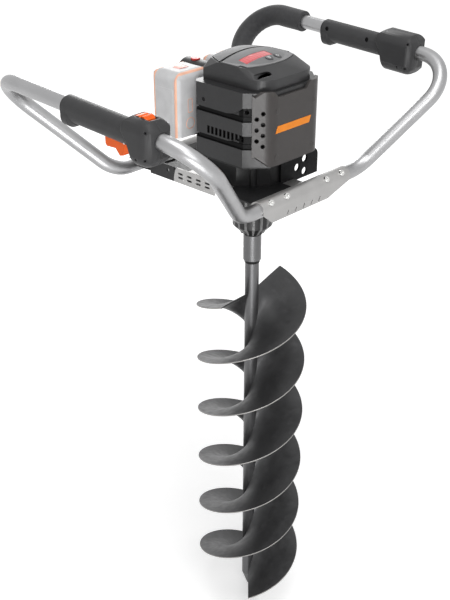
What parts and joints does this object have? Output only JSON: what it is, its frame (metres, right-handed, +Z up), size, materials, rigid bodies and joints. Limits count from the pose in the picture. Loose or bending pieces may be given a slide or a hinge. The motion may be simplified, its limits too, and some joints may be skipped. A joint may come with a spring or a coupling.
{
  "type": "earth auger",
  "caption": "Battery earth auger: helical bit on a geared power head, carried by a closed-loop tube handlebar with grips, trigger and lift-out packs.",
  "frame": {"origin": "tip of the bit's pilot point", "axes": "+X to the operator's right, -Y to the front, away from the packs, +Z up the bit's axis"},
  "size_m": [0.686, 0.4775, 1.127],
  "materials": {
    "tube": "satin",
    "plate_silver": "satin",
    "plate_black": "satin",
    "screw": "satin",
    "casting_black": "satin",
    "housing": "matte",
    "cover": "matte",
    "panel": "satin",
    "display": "gloss",
    "board": "matte",
    "orange": "gloss",
    "red_button": "gloss",
    "grip": "matte",
    "foam": "matte",
    "battery": "satin",
    "battery_button": "satin",
    "key_light": "satin",
    "key_dark": "satin",
    "bit": "satin",
    "steel": "satin",
    "copper": "satin",
    "seal": "matte"
  },
  "bodies": {
    "frame": {"front_handlebar": "tube", "rear_handlebar": "tube", "joiner_sleeves": "steel", "base_tray": "plate_silver", "rear_bracket": "plate_black", "cross_plate": "plate_black", "front_clamp": "plate_black", "rear_clamp": "plate_black", "front_saddle": "plate_silver", "rear_saddle": "plate_silver", "front_saddle_screws": "screw", "rear_saddle_screws": "screw", "gear_case": "casting_black", "gearbox_nose": "casting_black", "motor_plate": "casting_black", "motor_can": "steel", "motor_housing": "housing", "front_cover": "cover", "cover_screws": "screw", "top_lid": "housing", "control_panel": "panel", "display_lens": "display", "control_board": "board", "battery_tower": "housing", "motor_stator": "copper", "motor_bearings": "steel", "layshaft_bearings": "steel", "spindle_bearings": "steel", "shaft_seal": "seal", "left_grip": "grip", "right_grip": "grip", "left_housing_outer": "housing", "left_housing_inner": "housing", "right_housing_outer": "housing", "right_housing_inner": "housing", "housing_screws": "screw", "trigger_pin": "steel", "trigger_switch": "housing", "foam_sleeve": "foam"},
    "bit": {"output_spindle": "steel", "output_gear": "steel", "bit_shaft": "bit", "flight_a": "bit", "flight_b": "bit", "coupling_pin": "steel"},
    "rotor": {"rotor": "steel", "motor_pinion": "steel", "cooling_fan": "housing"},
    "layshaft": {"layshaft": "steel", "layshaft_gear": "steel", "layshaft_pinion": "steel"},
    "trigger": {"trigger": "orange"},
    "lock": {"lock_slider": "orange"},
    "battery_left": {"left_battery": "battery"},
    "release_left": {"left_battery_button": "battery_button"},
    "battery_right": {"right_battery": "battery"},
    "release_right": {"right_battery_button": "battery_button"},
    "mode_key": {"mode_button": "key_light"},
    "power_key": {"power_button": "key_dark"},
    "tower_key": {"safety_key": "red_button"}
  },
  "joints": [
    {"name": "bit_spin", "type": "hinge", "parent": "frame", "child": "bit", "pos_m": [0, 0, 0], "axis": [0, 0, 1], "continuous": true},
    {"name": "layshaft_spin", "type": "hinge", "parent": "frame", "child": "layshaft", "pos_m": [0, 0.042, 0.914], "axis": [0, 0, 1], "continuous": true},
    {"name": "rotor_spin", "type": "hinge", "parent": "frame", "child": "rotor", "pos_m": [0, 0, 0.914], "axis": [0, 0, 1], "continuous": true},
    {"name": "trigger_pull", "type": "hinge", "parent": "frame", "child": "trigger", "pos_m": [-0.316, -0.04714, 1.06676], "axis": [1, 0, 0], "range_deg": [0, 5], "stiffness_Nm_per_rad": 2, "springref_deg": -5.73},
    {"name": "lock_push", "type": "slide", "parent": "frame", "child": "lock", "axis": [0, -0.999, -0.0449], "range_m": [0, 0.006], "stiffness_N_per_m": 300, "springref_m": -0.003},
    {"name": "battery_left_lift", "type": "slide", "parent": "frame", "child": "battery_left", "axis": [0, 0, 1], "range_m": [0, 0.11]},
    {"name": "battery_right_lift", "type": "slide", "parent": "frame", "child": "battery_right", "axis": [0, 0, 1], "range_m": [0, 0.11]},
    {"name": "release_left_press", "type": "slide", "parent": "battery_left", "child": "release_left", "axis": [0, 0, -1], "range_m": [0, 0.0025], "stiffness_N_per_m": 600, "springref_m": -0.0025},
    {"name": "release_right_press", "type": "slide", "parent": "battery_right", "child": "release_right", "axis": [0, 0, -1], "range_m": [0, 0.0025], "stiffness_N_per_m": 600, "springref_m": -0.0025},
    {"name": "mode_press", "type": "slide", "parent": "frame", "child": "mode_key", "axis": [0, 0, -1], "range_m": [0, 0.001], "stiffness_N_per_m": 600, "springref_m": -0.001},
    {"name": "power_press", "type": "slide", "parent": "frame", "child": "power_key", "axis": [0, 0, -1], "range_m": [0, 0.001], "stiffness_N_per_m": 600, "springref_m": -0.001},
    {"name": "tower_press", "type": "slide", "parent": "frame", "child": "tower_key", "axis": [0, 0, -1], "range_m": [0, 0.002], "stiffness_N_per_m": 600, "springref_m": -0.002}
  ],
  "couplings": [
    {"joint": "layshaft_spin", "follows": "bit_spin", "ratio": -4},
    {"joint": "rotor_spin", "follows": "bit_spin", "ratio": 16}
  ]
}
